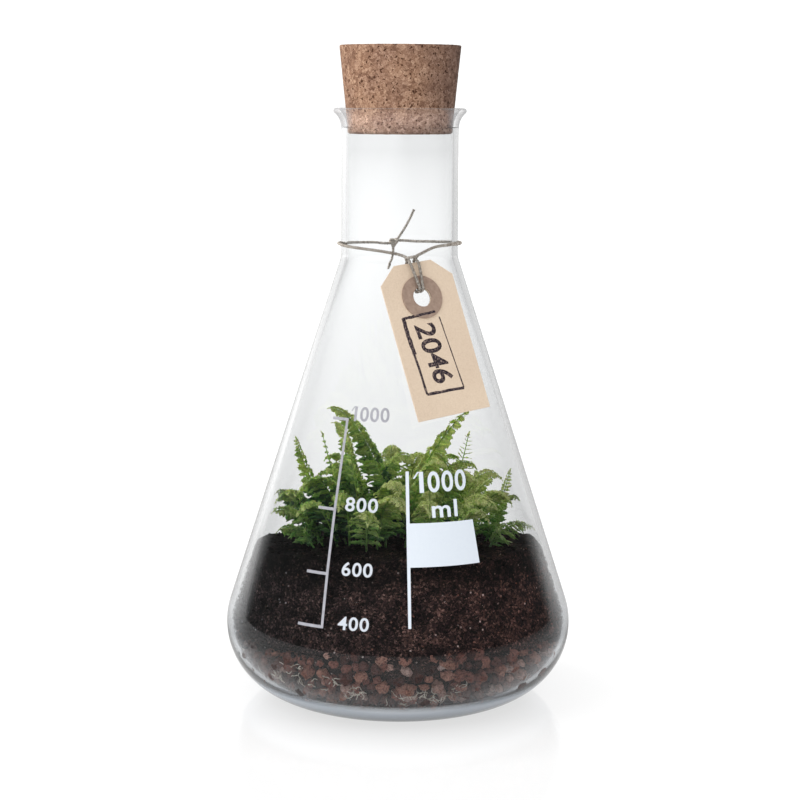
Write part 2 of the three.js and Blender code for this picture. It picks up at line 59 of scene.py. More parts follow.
# ---- Twine ----
# One thin two-ply hemp string, tied behind the neck with a knot that leaves two short ends. In front its
# bight goes down through the tag's hole and up behind the tag, and both strands pass over the tag's top edge.
cone_angle = radians(17.96)
cos_cone, sin_cone = cos(cone_angle), sin(cone_angle)
body_radius, heel_radius = 65.5, 27.4
neck_radius, shoulder_radius = 21.8, 6.8
heel_centre = (body_radius - heel_radius, heel_radius)
outer_line = cos_cone * heel_centre[0] + sin_cone * heel_centre[1] + heel_radius
shoulder_centre = (neck_radius + shoulder_radius,
                   (outer_line + shoulder_radius - cos_cone * (neck_radius + shoulder_radius)) / sin_cone)


def outside_radius(z):
    return (outer_line - sin_cone * z) / cos_cone


twine_radius, twine_lift, cone_slack = 0.6, 0.9, 0.5
tag_bearing, tag_tilt, tag_swing = radians(26), radians(21.5), radians(7.1)
tag_stand_off, tag_shift, tag_drop = 2.7, 5.5, 13.3
tag_facing = Vector((sin(tag_bearing), -cos(tag_bearing), 0))
tag_outward = cos(tag_tilt) * tag_facing + Vector((0, 0, sin(tag_tilt)))
tag_level = Vector((cos(tag_bearing), sin(tag_bearing), 0))
tag_upward = tag_outward.cross(tag_level)
shoulder_z = shoulder_centre[1] - shoulder_radius * sin_cone
tag_origin = outside_radius(shoulder_z) * tag_facing + Vector((0, 0, shoulder_z))
tag_origin += tag_stand_off * tag_outward - tag_shift * tag_level - tag_drop * tag_upward
tag_turn = Matrix((tag_level, tag_upward, tag_outward)).transposed() @ Matrix.Rotation(tag_swing, 3, "Z")
to_metres = Matrix.Diagonal((mm, mm, mm, 1))
tag_place = Matrix.Translation(tag_origin * mm) @ tag_turn.to_4x4() @ to_metres


def on_tag(x, y, lift):
    """A place on the tag in millimetres from the middle of its hole, as a point of the frame"""
    return tag_place @ Vector((x, y, lift))


def round_neck(*stops):
    """Places round the neck, each a bearing in degrees from the front, a height and how far it stands off"""
    points = []
    for bearing, z, stand_off in stops:
        glass = max(neck_radius, outside_radius(z) + cone_slack if z < shoulder_centre[1] else 0)
        radius = glass + twine_lift + stand_off
        angle = radians(bearing)
        points.append(Vector((radius * sin(angle), -radius * cos(angle), z)) * mm)
    return points


def smooth_route(points, step):
    """Even steps along a centripetal Catmull-Rom curve through the points"""
    pts = [2 * points[0] - points[1], *points, 2 * points[-1] - points[-2]]
    fine = []
    for p0, p1, p2, p3 in zip(pts, pts[1:], pts[2:], pts[3:]):
        t1 = (p1 - p0).length ** 0.5
        t2 = t1 + (p2 - p1).length ** 0.5
        t3 = t2 + (p3 - p2).length ** 0.5
        for i in range(24):
            t = t1 + (t2 - t1) * i / 24
            a1 = p0.lerp(p1, t / t1)
            a2 = p1.lerp(p2, (t - t1) / (t2 - t1))
            a3 = p2.lerp(p3, (t - t2) / (t3 - t2))
            b1 = a1.lerp(a2, t / t2)
            b2 = a2.lerp(a3, (t - t1) / (t3 - t1))
            fine.append(b1.lerp(b2, (t - t1) / (t2 - t1)))
    fine.append(points[-1])
    along = np.concatenate([[0], np.cumsum([(b - a).length for a, b in zip(fine, fine[1:])])])
    marks = np.linspace(0, along[-1], max(2, round(along[-1] / step)) + 1)
    xyz = np.array(fine)
    route = np.stack([np.interp(marks, along, xyz[:, axis]) for axis in range(3)], axis=1)
    return [Vector(point) for point in route], float(along[-1])


def tube(name, route, section, sides, turns_per_metre=0):
    """A closed tube whose section, a radius by share of its length and angle, turns as it goes"""
    normal = (route[1] - route[0]).orthogonal().normalized()
    verts, faces = [], []
    done = 0
    for i, centre in enumerate(route):
        ahead = route[min(i + 1, len(route) - 1)] - route[max(i - 1, 0)]
        tangent = ahead.normalized()
        normal = (normal - normal.dot(tangent) * tangent).normalized()
        binormal = tangent.cross(normal)
        done += (centre - route[i - 1]).length if i else 0
        for k in range(sides):
            angle = 2 * pi * k / sides
            lay = angle + 2 * pi * turns_per_metre * done
            radius = section(i / (len(route) - 1), angle)
            verts.append(centre + radius * (cos(lay) * normal + sin(lay) * binormal))
    for i in range(len(route) - 1):
        for k in range(sides):
            a, b = i * sides + k, i * sides + (k + 1) % sides
            faces.append((a, b, b + sides, a + sides))
    faces.append(tuple(reversed(range(sides))))
    faces.append(tuple(range(len(verts) - sides, len(verts))))
    mesh = bpy.data.meshes.new(name)
    mesh.from_pydata(verts, [], faces)
    mesh.validate()
    piece = bpy.data.objects.new(name, mesh)
    bpy.context.collection.objects.link(piece)
    for face in mesh.polygons:
        face.use_smooth = True
    return piece


def add_node(kind, inputs=(), **settings):
    node = tree.nodes.new("ShaderNode" + kind)
    for key, value in settings.items():
        setattr(node, key, value)
    for key, value in dict(inputs).items():
        if isinstance(value, bpy.types.NodeSocket):
            tree.links.new(value, node.inputs[key])
        else:
            node.inputs[key].default_value = value
    return node


def object_place(scale=(1, 1, 1)):
    point = add_node("TexCoord").outputs["Object"]
    return add_node("Mapping", {"Vector": point, "Scale": scale}).outputs["Vector"]


def new_finish(name, roughness, specular=0.5, **sockets):
    """Start a finish: the node functions work on it, on its shader and place, until the next is started"""
    global tree, shader, place
    material = bpy.data.materials.new(name)
    material.use_nodes = True
    tree = material.node_tree
    shader = tree.nodes["Principled BSDF"]
    for key, value in {"Roughness": roughness, "Specular IOR Level": specular, **sockets}.items():
        shader.inputs[key.replace("_", " ")].default_value = value
    place = object_place()
    return material


def grain(scale, detail=3, roughness=0.55):
    values = {"Vector": place, "Scale": scale, "Detail": detail, "Roughness": roughness}
    return add_node("TexNoise", values).outputs["Fac"]


def ramp(factor, *stops):
    """Colours that go over into each other, each at its place from 0 to 1; a single number is a grey"""
    node = add_node("ValToRGB", {"Fac": factor})
    elements = node.color_ramp.elements
    while len(elements) < len(stops):
        elements.new(0.5)
    for element, (position, colour) in zip(elements, stops):
        element.position = position
        element.color = (*colour, 1) if isinstance(colour, tuple) else (colour, colour, colour, 1)
    return node.outputs["Color"]


def place_on(axis):
    """How far along one of its own axes a point of the piece lies, in metres"""
    return add_node("SeparateXYZ", {"Vector": object_place()}).outputs[axis]


def ranged(value, start, end, first=0, last=1):
    values = {"Value": value, "From Min": start, "From Max": end, "To Min": first, "To Max": last}
    return add_node("MapRange", values).outputs["Result"]


def mixed(factor, first, second, blend="MIX"):
    return add_node("Mix", {0: factor, 6: first, 7: second}, data_type="RGBA", blend_type=blend).outputs[2]


def tinted(colour, *tints):
    """A colour multiplied by each of its tints in turn"""
    for tint in tints:
        colour = mixed(1, colour, tint, "MULTIPLY")
    return colour


def coloured(colour, *tints):
    tree.links.new(tinted(colour, *tints), shader.inputs["Base Color"])


def bumped(height, strength, distance):
    bump = add_node("Bump", {"Height": height, "Strength": strength, "Distance": distance})
    tree.links.new(bump.outputs["Normal"], shader.inputs["Normal"])


def settle(piece, name, finish, slot, *nodes):
    """Name a finished piece, give it its finish, let it ride with the part and stand for its nodes"""
    piece.name = name
    piece.data.name = name
    piece.data.materials.clear()
    piece.data.materials.append(finish)
    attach(piece, "root")
    if nodes:
        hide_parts(*nodes)


# millimetres from the middle of the hole: the twine off each face, the tag's top edge, the twine in the hole
face, top, hang = 1.9, 13.9, 2.3
knot_at = (-174, 170, 0.9)
down_to_hole = [(1.6, top + 0.6, 0.9), (1.6, top - 2, face), (0.9, 5.4, face), (0.65, hang + 1.3, face),
                (0.65, hang + 0.4, 0.8 * face), (0.65, hang, 0), (0.65, hang + 0.4, -0.8 * face),
                (0.65, hang + 1.3, -face), (0.9, 5.4, -face), (1.6, top - 2, -face)]
bight = [(-1.5, top + 0.4, -0.6), (-2.2, top + 1, 0.9), (-1.4, top + 0.7, 2.3), (0, top + 0.6, 2.7),
         (1.3, top + 0.7, 2.3), (2.2, top + 1, 0.9), (1.6, top + 0.4, -0.6)]
left_strand = round_neck(
    (-150, 170.2, 0.1), (-120, 170.7, 0), (-95, 171.2, 0), (-75, 171.3, 0), (-55, 171, 0), (-32, 170.6, 0),
    (-12, 169.8, 0.2), (2, 168.7, 0.7))
right_strand = round_neck(
    (22, 169.6, 0.2), (34, 171.3, 0), (52, 171.8, 0), (77, 171.6, 0), (100, 171.5, 0), (130, 170.9, 0),
    (160, 170.5, 0.1))
upper_end = round_neck((165, 182.6, 0.1), (171, 178, 0.2), (178, 173.6, 0.5), knot_at)
lower_end = round_neck(knot_at, (-173.6, 166.6, 0.5), (-172, 163, 0.4), (-169.5, 159.6, 0.5))
twine_points = [
    *upper_end, *left_strand, *[on_tag(-x, y, lift) for x, y, lift in down_to_hole],
    *[on_tag(*stop) for stop in (*bight, *reversed(down_to_hole))], *right_strand, *lower_end]
twine_step, twine_turns = 0.22 * mm, 450
twine_route, twine_length = smooth_route(twine_points, twine_step)


def two_plies(share, angle):
    return twine_radius * mm * (0.6 + 0.4 * abs(cos(angle)) ** 0.8)


hemp = new_finish("hemp_twine", 0.9, 0.2)
hemp_colour = ramp(
    grain(1100, 4), (0.3, (0.24, 0.2, 0.165)), (0.5, (0.5, 0.45, 0.395)), (0.75, (0.74, 0.7, 0.64)))
# painted light makes the twine lighter behind the neck, where it is seen through the glass, and painted
# shade makes it darker in front
coloured(hemp_colour, ranged(place_on("Y"), -0.02, 0.02, 0.66, 1.65))
bumped(grain(5000, 2), 0.5, 0.1 * mm)

twine = tube("twine", twine_route, two_plies, 12, twine_turns)
settle(twine, "twine_string", hemp, "twine_string", "twine")

knot_angle = radians(knot_at[0])
knot_level = Vector((cos(knot_angle), sin(knot_angle), 0))
knot_outward = Vector((sin(knot_angle), -cos(knot_angle), 0))
knot_centre = round_neck(knot_at)[0]
knot_points = []
for i in range(25):
    t = 2 * pi * i / 24
    along, upward = sin(t) + 2 * sin(2 * t), cos(t) - 2 * cos(2 * t)
    offset = 0.55 * along * knot_level + 0.5 * upward * Vector((0, 0, 1)) + 0.5 * sin(3 * t) * knot_outward
    knot_points.append(knot_centre + offset * mm)
knot = tube("knot", smooth_route(knot_points, twine_step)[0], two_plies, 12, twine_turns)
settle(knot, "twine_knot", hemp, "twine_string")

# ---- Flask ----
# A one litre conical laboratory flask: one piece of blown borosilicate glass about 2 mm thick, its rim flared
# and rolled in the flame, its base pushed up a little in the middle.
wall, base_thickness, inner_heel_radius = 2.1, 4, 23.5
inner_line = outer_line - wall
inner_heel_z = base_thickness + inner_heel_radius
inner_heel = ((inner_line - inner_heel_radius - sin_cone * inner_heel_z) / cos_cone, inner_heel_z)
flare_radius, flare_sweep, rim_height, flare_height = 6.8, radians(50), 221.1, 9.3
lip_radius = wall / 2
lip_reach = flare_radius + lip_radius
flare_centre = (neck_radius + flare_radius, rim_height - lip_radius - lip_reach * sin(flare_sweep))


def arc(centre, radius, start, end, steps):
    angles = [start + (end - start) * i / steps for i in range(steps + 1)]
    return [(centre[0] + radius * cos(angle), centre[1] + radius * sin(angle)) for angle in angles]


def inside_radius(z):
    if z > inner_heel[1] + inner_heel_radius * sin_cone:
        return (inner_line - sin_cone * z) / cos_cone
    return inner_heel[0] + sqrt(max(inner_heel_radius ** 2 - (inner_heel[1] - z) ** 2, 0))


def added(add, **sizes):
    """Add a primitive or a text by itself"""
    bpy.ops.object.select_all(action="DESELECT")
    add(**sizes)
    return bpy.context.object


def rough_out(add, **sizes):
    """Add a primitive and open it in edit mode, with all of it selected"""
    added(add, **sizes)
    bpy.ops.object.mode_set(mode="EDIT")
    bpy.ops.mesh.select_all(action="SELECT")


def finish_off():
    """Point the faces of the open piece outwards, leave edit mode and give the piece back"""
    bpy.ops.mesh.select_all(action="SELECT")
    bpy.ops.mesh.normals_make_consistent(inside=False)
    bpy.ops.object.mode_set(mode="OBJECT")
    return bpy.context.object


def turned(outline, sides):
    """Draw half an outline point by point, from axis to axis, and spin it round the upright axis"""
    rough_out(bpy.ops.mesh.primitive_plane_add, size=mm)
    bpy.ops.mesh.merge(type="CENTER")
    bpy.ops.transform.translate(value=(outline[0][0] * mm, 0, outline[0][1] * mm))
    for (r0, z0), (r1, z1) in zip(outline, outline[1:]):
        step = {"value": ((r1 - r0) * mm, 0, (z1 - z0) * mm)}
        bpy.ops.mesh.extrude_vertices_move(TRANSFORM_OT_translate=step)
    bpy.ops.mesh.select_all(action="SELECT")
    bpy.ops.mesh.spin(steps=sides, angle=2 * pi, center=(0, 0, 0), axis=(0, 0, 1))
    bpy.ops.mesh.select_all(action="SELECT")
    bpy.ops.mesh.remove_doubles(threshold=0.004 * mm)
    piece = finish_off()
    bpy.ops.object.shade_smooth()
    return piece


def steps_between(start, end, count):
    return [(start[0] + (end[0] - start[0]) * i / count, start[1] + (end[1] - start[1]) * i / count)
            for i in range(count)]


def stepped(*corners):
    """An outline through corners, each a radius, a height and the number of even steps to the next corner"""
    outline = []
    for (r0, z0, count), (r1, z1, _) in zip(corners, corners[1:]):
        outline += steps_between((r0, z0), (r1, z1), count)
    return [*outline, corners[-1][:2]]


lip_angle = pi - flare_sweep
lip_centre = arc(flare_centre, lip_reach, lip_angle, lip_angle, 1)[0]
outer_heel = arc(heel_centre, heel_radius, -pi / 2, cone_angle, 26)
outer_shoulder = arc(shoulder_centre, shoulder_radius, pi + cone_angle, pi, 8)
outer_flare = arc(flare_centre, flare_radius, pi, lip_angle, 10)
inner_flare = arc(flare_centre, flare_radius + wall, lip_angle, pi, 10)
inner_shoulder = arc(shoulder_centre, shoulder_radius + wall, pi, pi + cone_angle, 8)
inner_heel_end = inner_heel[0] + inner_heel_radius * cos_cone, inner_heel[1] + inner_heel_radius * sin_cone
glass_outline = [
    (0, 1.2), (14, 1.1), (28, 0.8), (31, 0.3), (33, 0.05), (35, 0),
    *outer_heel, *steps_between(outer_heel[-1], outer_shoulder[0], 24)[1:],
    *outer_shoulder, *steps_between(outer_shoulder[-1], outer_flare[0], 8)[1:],
    *outer_flare, *arc(lip_centre, lip_radius, -flare_sweep, lip_angle, 10)[1:-1],
    *inner_flare, *steps_between(inner_flare[-1], inner_shoulder[0], 8)[1:],
    *inner_shoulder, *steps_between(inner_shoulder[-1], inner_heel_end, 24)[1:],
    *arc(inner_heel, inner_heel_radius, cone_angle, -pi / 2, 26),
    (18, base_thickness), (0, base_thickness)]
flask = turned(glass_outline, 240)


def glancing():
    """How far a surface turns away from the eye, from 0 face on to 1 at its edge"""
    return add_node("LayerWeight", {"Blend": 0.5}).outputs["Facing"]


# painted shade makes the thick heel grey, darkest at the table, and painted reflection makes the cone's
# edges a bluish grey low down
glass = new_finish("flask_glass", 0, IOR=1.47)
height = place_on("Z")
painted_heel_shade = ramp(
    ranged(height, 0, 0.012), (0.06, (0.05, 0.053, 0.053)), (0.2, (0.14, 0.145, 0.145)),
    (0.4, (0.36, 0.375, 0.39)), (0.62, (0.58, 0.6, 0.635)), (0.85, (0.66, 0.69, 0.73)), (1, (0.99, 0.997, 1)))
at_edge = ranged(glancing(), 0.46, 0.6)
low_edge = tinted(at_edge, ranged(height, 0.026, 0.05, 1, 0))
painted_edge_reflection = mixed(low_edge, (1, 1, 1, 1), (0.7, 0.745, 0.79, 1))
coloured(painted_heel_shade, painted_edge_reflection)
tree.links.new(ranged(height, 0.0085, 0.0115, 0.22, 1), shader.inputs["Transmission Weight"])
bumped(grain(38, 1), 0.02, 0.6 * mm)
settle(flask, "flask_glass", glass, "flask_glass", "flask")

# the flare is see-through face on, and its grey edges are painted reflection
rim_glass = new_finish("rim_glass", 0.05, Base_Color=(0.48, 0.48, 0.49, 1), IOR=1.7)
tree.links.new(ranged(glancing(), 0.5, 0.97, 0.03, 0.9), shader.inputs["Alpha"])
bumped(grain(120, 1), 0.05, 0.5 * mm)
flask.data.materials.append(rim_glass)
for side in flask.data.polygons:
    if side.center.z / mm > rim_height - flare_height:
        side.material_index = 1

# ---- Printed scale ----
# White enamel fired onto the outside of the cone: a scale with plain numbers on the left, and on the right
# a line, the nominal volume and a blank patch for pencil notes. It stands 0.05 mm proud of the glass.
proud, sunk, half_line = 0.05, -0.01, 0.5


def on_cone(bearing, z, lift):
    angle = radians(bearing)
    outward = Vector((sin(angle), -cos(angle), 0))
    on_glass = outside_radius(z) * outward + Vector((0, 0, z))
    return (on_glass + lift * (cos_cone * outward + sin_cone * Vector((0, 0, 1)))) * mm


def laid_out(piece, where):
    """Move each point of a flat piece to where its shares across and upward, and its own height, put it"""
    xs = [vertex.co.x for vertex in piece.data.vertices]
    ys = [vertex.co.y for vertex in piece.data.vertices]
    left, low, width, height = min(xs), min(ys), max(xs) - min(xs), max(ys) - min(ys)
    for vertex in piece.data.vertices:
        x, y, z = vertex.co
        vertex.co = where((x - left) / width, (y - low) / height, z)
    return piece


def printed(piece, low, high):
    """Wrap a flat piece on the cone: low and high are the height, left and right bearing of its two edges"""
    def on_flask(across, upward, side):
        z, left, right = (first + (last - first) * upward for first, last in zip(low, high))
        return on_cone(left + (right - left) * across, z, proud if side > 0 else sunk)
    return laid_out(piece, on_flask)


def printed_bar(low, high, cuts=(1, 1)):
    rough_out(bpy.ops.mesh.primitive_grid_add, x_subdivisions=cuts[0], y_subdivisions=cuts[1], size=1)
    bpy.ops.transform.translate(value=(0, 0, -0.05))
    bpy.ops.mesh.extrude_region_move(TRANSFORM_OT_translate={"value": (0, 0, 0.1)})
    return printed(finish_off(), low, high)


def flat_text(words, weight, thickness=0, spacing=1):
    letters = added(bpy.ops.object.text_add).data
    letters.body, letters.resolution_u = words, 5
    letters.offset, letters.extrude, letters.space_character = weight, thickness, spacing
    bpy.ops.object.convert(target="MESH")
    return bpy.context.object


def printed_text(words, low, high):
    return printed(flat_text(words, 0.018, 0.05, 1.1), low, high)


def pick_out(*pieces):
    """Select these pieces alone, the first of them active"""
    bpy.ops.object.select_all(action="DESELECT")
    for piece in pieces:
        piece.select_set(True)
    bpy.context.view_layer.objects.active = pieces[0]


def joined(pieces):
    pick_out(*pieces)
    bpy.ops.object.join()
    return pieces[0]


def printed_one(start, end, low, high):
    """A figure 1 with a flag: an upright bar and a slanting one that tapers down to the left"""
    width = end - start
    stem, flag = end - 0.4 * width, low + 0.68 * (high - low)
    return [printed_bar((low, stem, end), (high, stem, end)),
            printed_bar((flag, start, start + 0.2 * width), (high, stem - 0.15 * width, stem + 0.1))]


def enamel_finish(name, thin, full):
    enamel = new_finish(name, 0.35, 0.5)
    coloured(ramp(grain(700, 2), (0.3, thin), (0.7, full)))
    bumped(grain(2500, 2), 0.06, 0.02 * mm)
    return enamel


# painted shade: the scale's lines with its 1000 take a dark grey copy of the white enamel, the other numbers
# a lighter grey copy
white_enamel = enamel_finish("white_enamel", (0.725, 0.785, 0.86), (0.74, 0.8, 0.87))
shaded_number_enamel = enamel_finish("shaded_number_enamel", (0.58, 0.62, 0.68), (0.62, 0.66, 0.72))
shaded_scale_enamel = enamel_finish("shaded_scale_enamel", (0.34, 0.34, 0.38), (0.42, 0.42, 0.46))
# each mark's height and its two ends' bearings, then its number's lower and upper edge and two ends' bearings
scale_marks = [
    (110.7, -36.3, -27.5, 110.3, 115.4, -26, -4.8), (79.7, -35, -27, 79.4, 84.3, -22.5, -8.4),
    (57.7, -34.8, -26.2, 57.6, 62.4, -20.7, -9.2), (39.8, -34.5, -25.3, 39.5, 44.1, -19.9, -9.4)]
left_scale, left_numbers = [], []
for number, (z, left, right, low, high, start, end) in zip(("1000", "800", "600", "400"), scale_marks):
    left_scale.append(printed_bar((z - half_line, left, right), (z + half_line, left, right), (12, 1)))
    if number == "1000":
        left_scale += printed_one(start, start + 3.6, low, high)
        left_scale.append(printed_text("000", (low, start + 5.4, end), (high, start + 5.4, end)))
    else:
        left_numbers.append(printed_text(number, (low, start, end), (high, start, end)))
for (z0, _, az0, *_), (z1, _, az1, *_) in zip(scale_marks[1:], scale_marks):
    half0, half1 = (degrees(half_line / outside_radius(z)) for z in (z0, z1))
    left_scale.append(printed_bar((z0 - half_line, az0 - half0, az0 + half0),
                                  (z1 + half_line, az1 - half1, az1 + half1), (1, 4)))
settle(joined(left_scale), "printed_scale_line", shaded_scale_enamel, "flask_glass")
settle(joined(left_numbers), "printed_scale_numbers", shaded_number_enamel, "flask_glass")

right_marks = [printed_bar((40.8, 3.35, 4.35), (93.7, 3.1, 4.6), (1, 6)), *printed_one(6.2, 11, 86.3, 93.5),
               printed_text("000", (86.3, 12.8, 30.6), (93.5, 12.8, 31.4)),
               printed_text("ml", (77.7, 13.8, 24.8), (83.6, 13.8, 25.2)),
               printed_bar((61.2, 4.3, 31.3), (76.05, 4.3, 31.3), (24, 8))]
settle(joined(right_marks), "printed_volume_and_patch", white_enamel, "flask_glass")

# ---- Cork stopper ----
# A tapered stopper pressed from ground cork and binder, pushed 9 mm into the mouth. Its skin is a mosaic of
# light and dark granules 1 to 4 mm across, with small pits where some have broken out.


def shaped(piece, kind, **settings):
    """Give a piece one modifier and apply it"""
    pick_out(piece)
    modifier = piece.modifiers.new(kind.lower(), kind)
    for key, value in settings.items():
        setattr(modifier, key, value)
    bpy.ops.object.modifier_apply(modifier=modifier.name)
    return piece


def roughened(piece, size, strength):
    relief = bpy.data.textures.new("relief", "CLOUDS")
    relief.noise_scale, relief.noise_depth = size, 3
    return shaped(piece, "DISPLACE", texture=relief, strength=strength, mid_level=0.5)


def jostled(scale, amount):
    """Places shifted by a cloudy noise, so that the seams of a mosaic on them are uneven"""
    shift = add_node("TexNoise", {"Vector": place, "Scale": scale}).outputs["Color"]
    return mixed(amount, place, shift, "ADD")


def mosaic(place, scale):
    """A mosaic of cells: how far a point is from its cell's middle, and random numbers for each cell"""
    cells = add_node("TexVoronoi", {"Vector": place, "Scale": scale}).outputs
    return cells["Distance"], add_node("SeparateColor", {"Color": cells["Color"]}).outputs


seat_radius, cork_bottom, taper_start, cork_top, cork_top_radius = 19.4, 211.8, 214.3, 243.9, 22.35
stopper = roughened(turned(stepped(
    (0, cork_bottom, 12), (seat_radius - 0.6, cork_bottom, 2), (seat_radius, cork_bottom + 0.6, 4),
    (seat_radius, taper_start, 44), (cork_top_radius, cork_top - 0.4, 2),
    (cork_top_radius - 0.3, cork_top - 0.1, 24), (0, cork_top - 0.1, 0)), 200), 1 * mm, 0.22 * mm)

cork = new_finish("pressed_cork", 0.85, 0.15)
warped = jostled(900, 0.002)
_, pick = mosaic(warped, 900)
granule_colour = ramp(
    pick["Red"], (0, (0.24, 0.135, 0.09)), (0.2, (0.36, 0.22, 0.15)), (0.6, (0.44, 0.285, 0.2)),
    (1, (0.56, 0.38, 0.275)))
mottle = ramp(grain(2600, 5, 0.7), (0.34, (0.4, 0.32, 0.28)), (0.46, (0.92, 0.9, 0.88)), (0.66, 1.18))
_, pick = mosaic(warped, 1700)
dark_fleck = ramp(pick["Green"], (0.05, (0.25, 0.18, 0.15)), (0.09, 1))
patches = ramp(grain(110, 3), (0.36, (0.86, 0.84, 0.86)), (0.64, (1.1, 1.1, 1.08)))
edge = add_node("TexVoronoi", {"Vector": warped, "Scale": 900}, feature="DISTANCE_TO_EDGE")
seam = ramp(edge.outputs["Distance"], (0, (0.72, 0.66, 0.62)), (0.1, 1))
# painted shade darkens the right side, and painted light makes the part in the neck lighter
painted_right_shade = ramp(ranged(place_on("X"), -0.02, 0.022), (0, (0.93, 0.88, 0.84)), (0.6, (0.8, 0.76, 0.74)),
               (1, (0.42, 0.41, 0.45)))
painted_neck_light = ramp(ranged(place_on("Z"), 0.217, 0.221), (0, (1.62, 1.78, 2)), (1, 1))
coloured(granule_colour, mottle, dark_fleck, patches, seam, painted_right_shade, painted_neck_light)
bumped(mixed(0.5, grain(2600, 4), seam), 0.5, 0.2 * mm)
settle(stopper, "cork_stopper_pressed", cork, "cork", "cork_stopper")

# ---- Drainage layer ----
# Broken baked clay granules, 3 to 5 mm, poured in first and lying against the glass. A few pale dry root
# fibres have grown down among them.
chance = random.Random(7)
vary = chance.uniform


def copy_at(model, place):
    piece = model.copy()
    piece.data = model.data.copy()
    piece.data.transform(place)
    bpy.context.collection.objects.link(piece)
    return piece


def keep_value(piece, name, value):
    """Keep one number with all the points of a piece, for its finish to read once pieces are joined"""
    layer = piece.data.attributes.new(name, "FLOAT", "POINT")
    layer.data.foreach_set("value", [value] * len(piece.data.vertices))


def kept_value(name):
    return add_node("Attribute", attribute_name=name).outputs["Fac"]


def put_away(models):
    for model in models:
        bpy.data.objects.remove(model)


def lumps(count, fineness, roughness, seed):
    """Lumps of radius 1: spheres of 20 faces (fineness 1) or 80 (2), knocked out of shape"""
    models = []
    for i in range(count):
        rough_out(bpy.ops.mesh.primitive_ico_sphere_add, subdivisions=fineness, radius=1)
        bpy.ops.transform.vertex_random(offset=roughness, seed=seed + i)
        bpy.ops.object.mode_set(mode="OBJECT")
        models.append(bpy.context.object)
    return models


def any_turn():
    return Matrix.Rotation(vary(0, 6.28), 4, "Z") @ Matrix.Rotation(vary(0, 3.14), 4, "X")


# how far a lump may be squashed along each of its axes
lump_spans = (0.8, 1.15), (0.7, 1), (0.6, 0.95)


def lump_at(models, point, size, tone=None):
    """A copy of one of the lumps, squashed and turned, which keeps a tone from 0 to 1"""
    squash = Matrix.Diagonal((*(size * vary(*span) for span in lump_spans), 1))
    piece = copy_at(chance.choice(models), Matrix.Translation(point) @ any_turn() @ squash)
    keep_value(piece, "tone", chance.random() if tone is None else tone)
    return piece


def inner_profile(offset, step, top):
    """Places along the inside of the glass, this far in from it, from the axis up to a height"""
    line = [(0, base_thickness + offset), (inner_heel[0], base_thickness + offset)]
    line += arc(inner_heel, inner_heel_radius - offset, -pi / 2, cone_angle, 40)
    line += [((inner_line - offset - sin_cone * z) / cos_cone, z) for z in range(36, 70, 2)]
    spots, travelled = [], 0
    for (r0, z0), (r1, z1) in zip(line, line[1:]):
        travelled += hypot(r1 - r0, z1 - z0)
        if travelled >= step and z1 < top:
            spots.append((r1, z1))
            travelled = 0
    return spots


def all_round(offset, step, top):
    """Jittered points a step apart, in rings all over the inside of the glass"""
    points = []
    for radius, z in inner_profile(offset, step, top):
        count = max(1, round(2 * pi * radius / step))
        start = vary(0, 6.28)
        for i in range(count):
            angle = start + 2 * pi * i / count + vary(-0.5, 0.5) * step / max(radius, step)
            lift = vary(-1.1, 1.1) * min(1, radius / 40)
            points.append(Vector((radius * cos(angle), radius * sin(angle), z + lift)) * mm)
    return points


def gravel_top(angle):
    """The granules reach higher in front, at an angle of -90 degrees, than at the sides"""
    return 24 + 6.5 * max(0, -sin(angle)) ** 2 + 0.8 * sin(9 * angle)


clay_offset, clay_step, clay_limit = 2.1, 3.7, 31
clay_models = lumps(8, 2, 0.42, 11)
granules = [lump_at(clay_models, point, vary(1.4, 2.8) * mm)
            for point in all_round(clay_offset, clay_step, clay_limit)
            if point.z < gravel_top(atan2(point.y, point.x)) * mm]
put_away(clay_models)
clay = new_finish("baked_clay", 0.85, 0.25)
clay_colour = ramp(
    kept_value("tone"), (0, (0.05, 0.022, 0.02)), (0.3, (0.12, 0.052, 0.044)),
    (0.6, (0.27, 0.115, 0.09)), (0.85, (0.4, 0.2, 0.15)), (1, (0.5, 0.38, 0.35)))
specks = ramp(grain(1500, 4, 0.65), (0.36, (0.35, 0.3, 0.3)), (0.5, (0.9, 0.88, 0.87)), (0.66, 1.25))
# painted shade darkens the granules on the left side
painted_left_shade = ranged(place_on("X"), -0.052, -0.025, 0.45, 1)
coloured(clay_colour, specks, painted_left_shade)
bumped(grain(2200, 4), 0.8, 0.4 * mm)
settle(joined(granules), "clay_granules", clay, "clay_granules", "gravel_layer")


def root_fibre(angle, z, length):
    """A thin curly root, which creeps along the inside of the glass"""
    points, heading, curl = [], vary(0, 6.28), vary(-0.5, 0.5)
    for _ in range(max(5, round(length / 0.8))):
        off = vary(0.25, 0.6)
        reach = inside_radius(z) - off
        points.append(Vector((reach * sin(angle), -reach * cos(angle), z)) * mm)
        heading += curl + vary(-0.7, 0.7)
        angle += 0.8 * cos(heading) / reach
        z = min(max(z + 0.8 * sin(heading), 7), 52)
    route, _ = smooth_route(points, 0.4 * mm)
    return tube("root", route, lambda share, around: (0.19 - 0.1 * share) * mm, 4)


def root_tuft(angle, z, count, spread, lengths):
    """Roots that start close together, spread about an angle and a height"""
    tuft = []
    for _ in range(count):
        start = angle + chance.gauss(0, spread[0]), z + chance.gauss(0, spread[1])
        tuft.append(root_fibre(*start, vary(*lengths)))
    return tuft


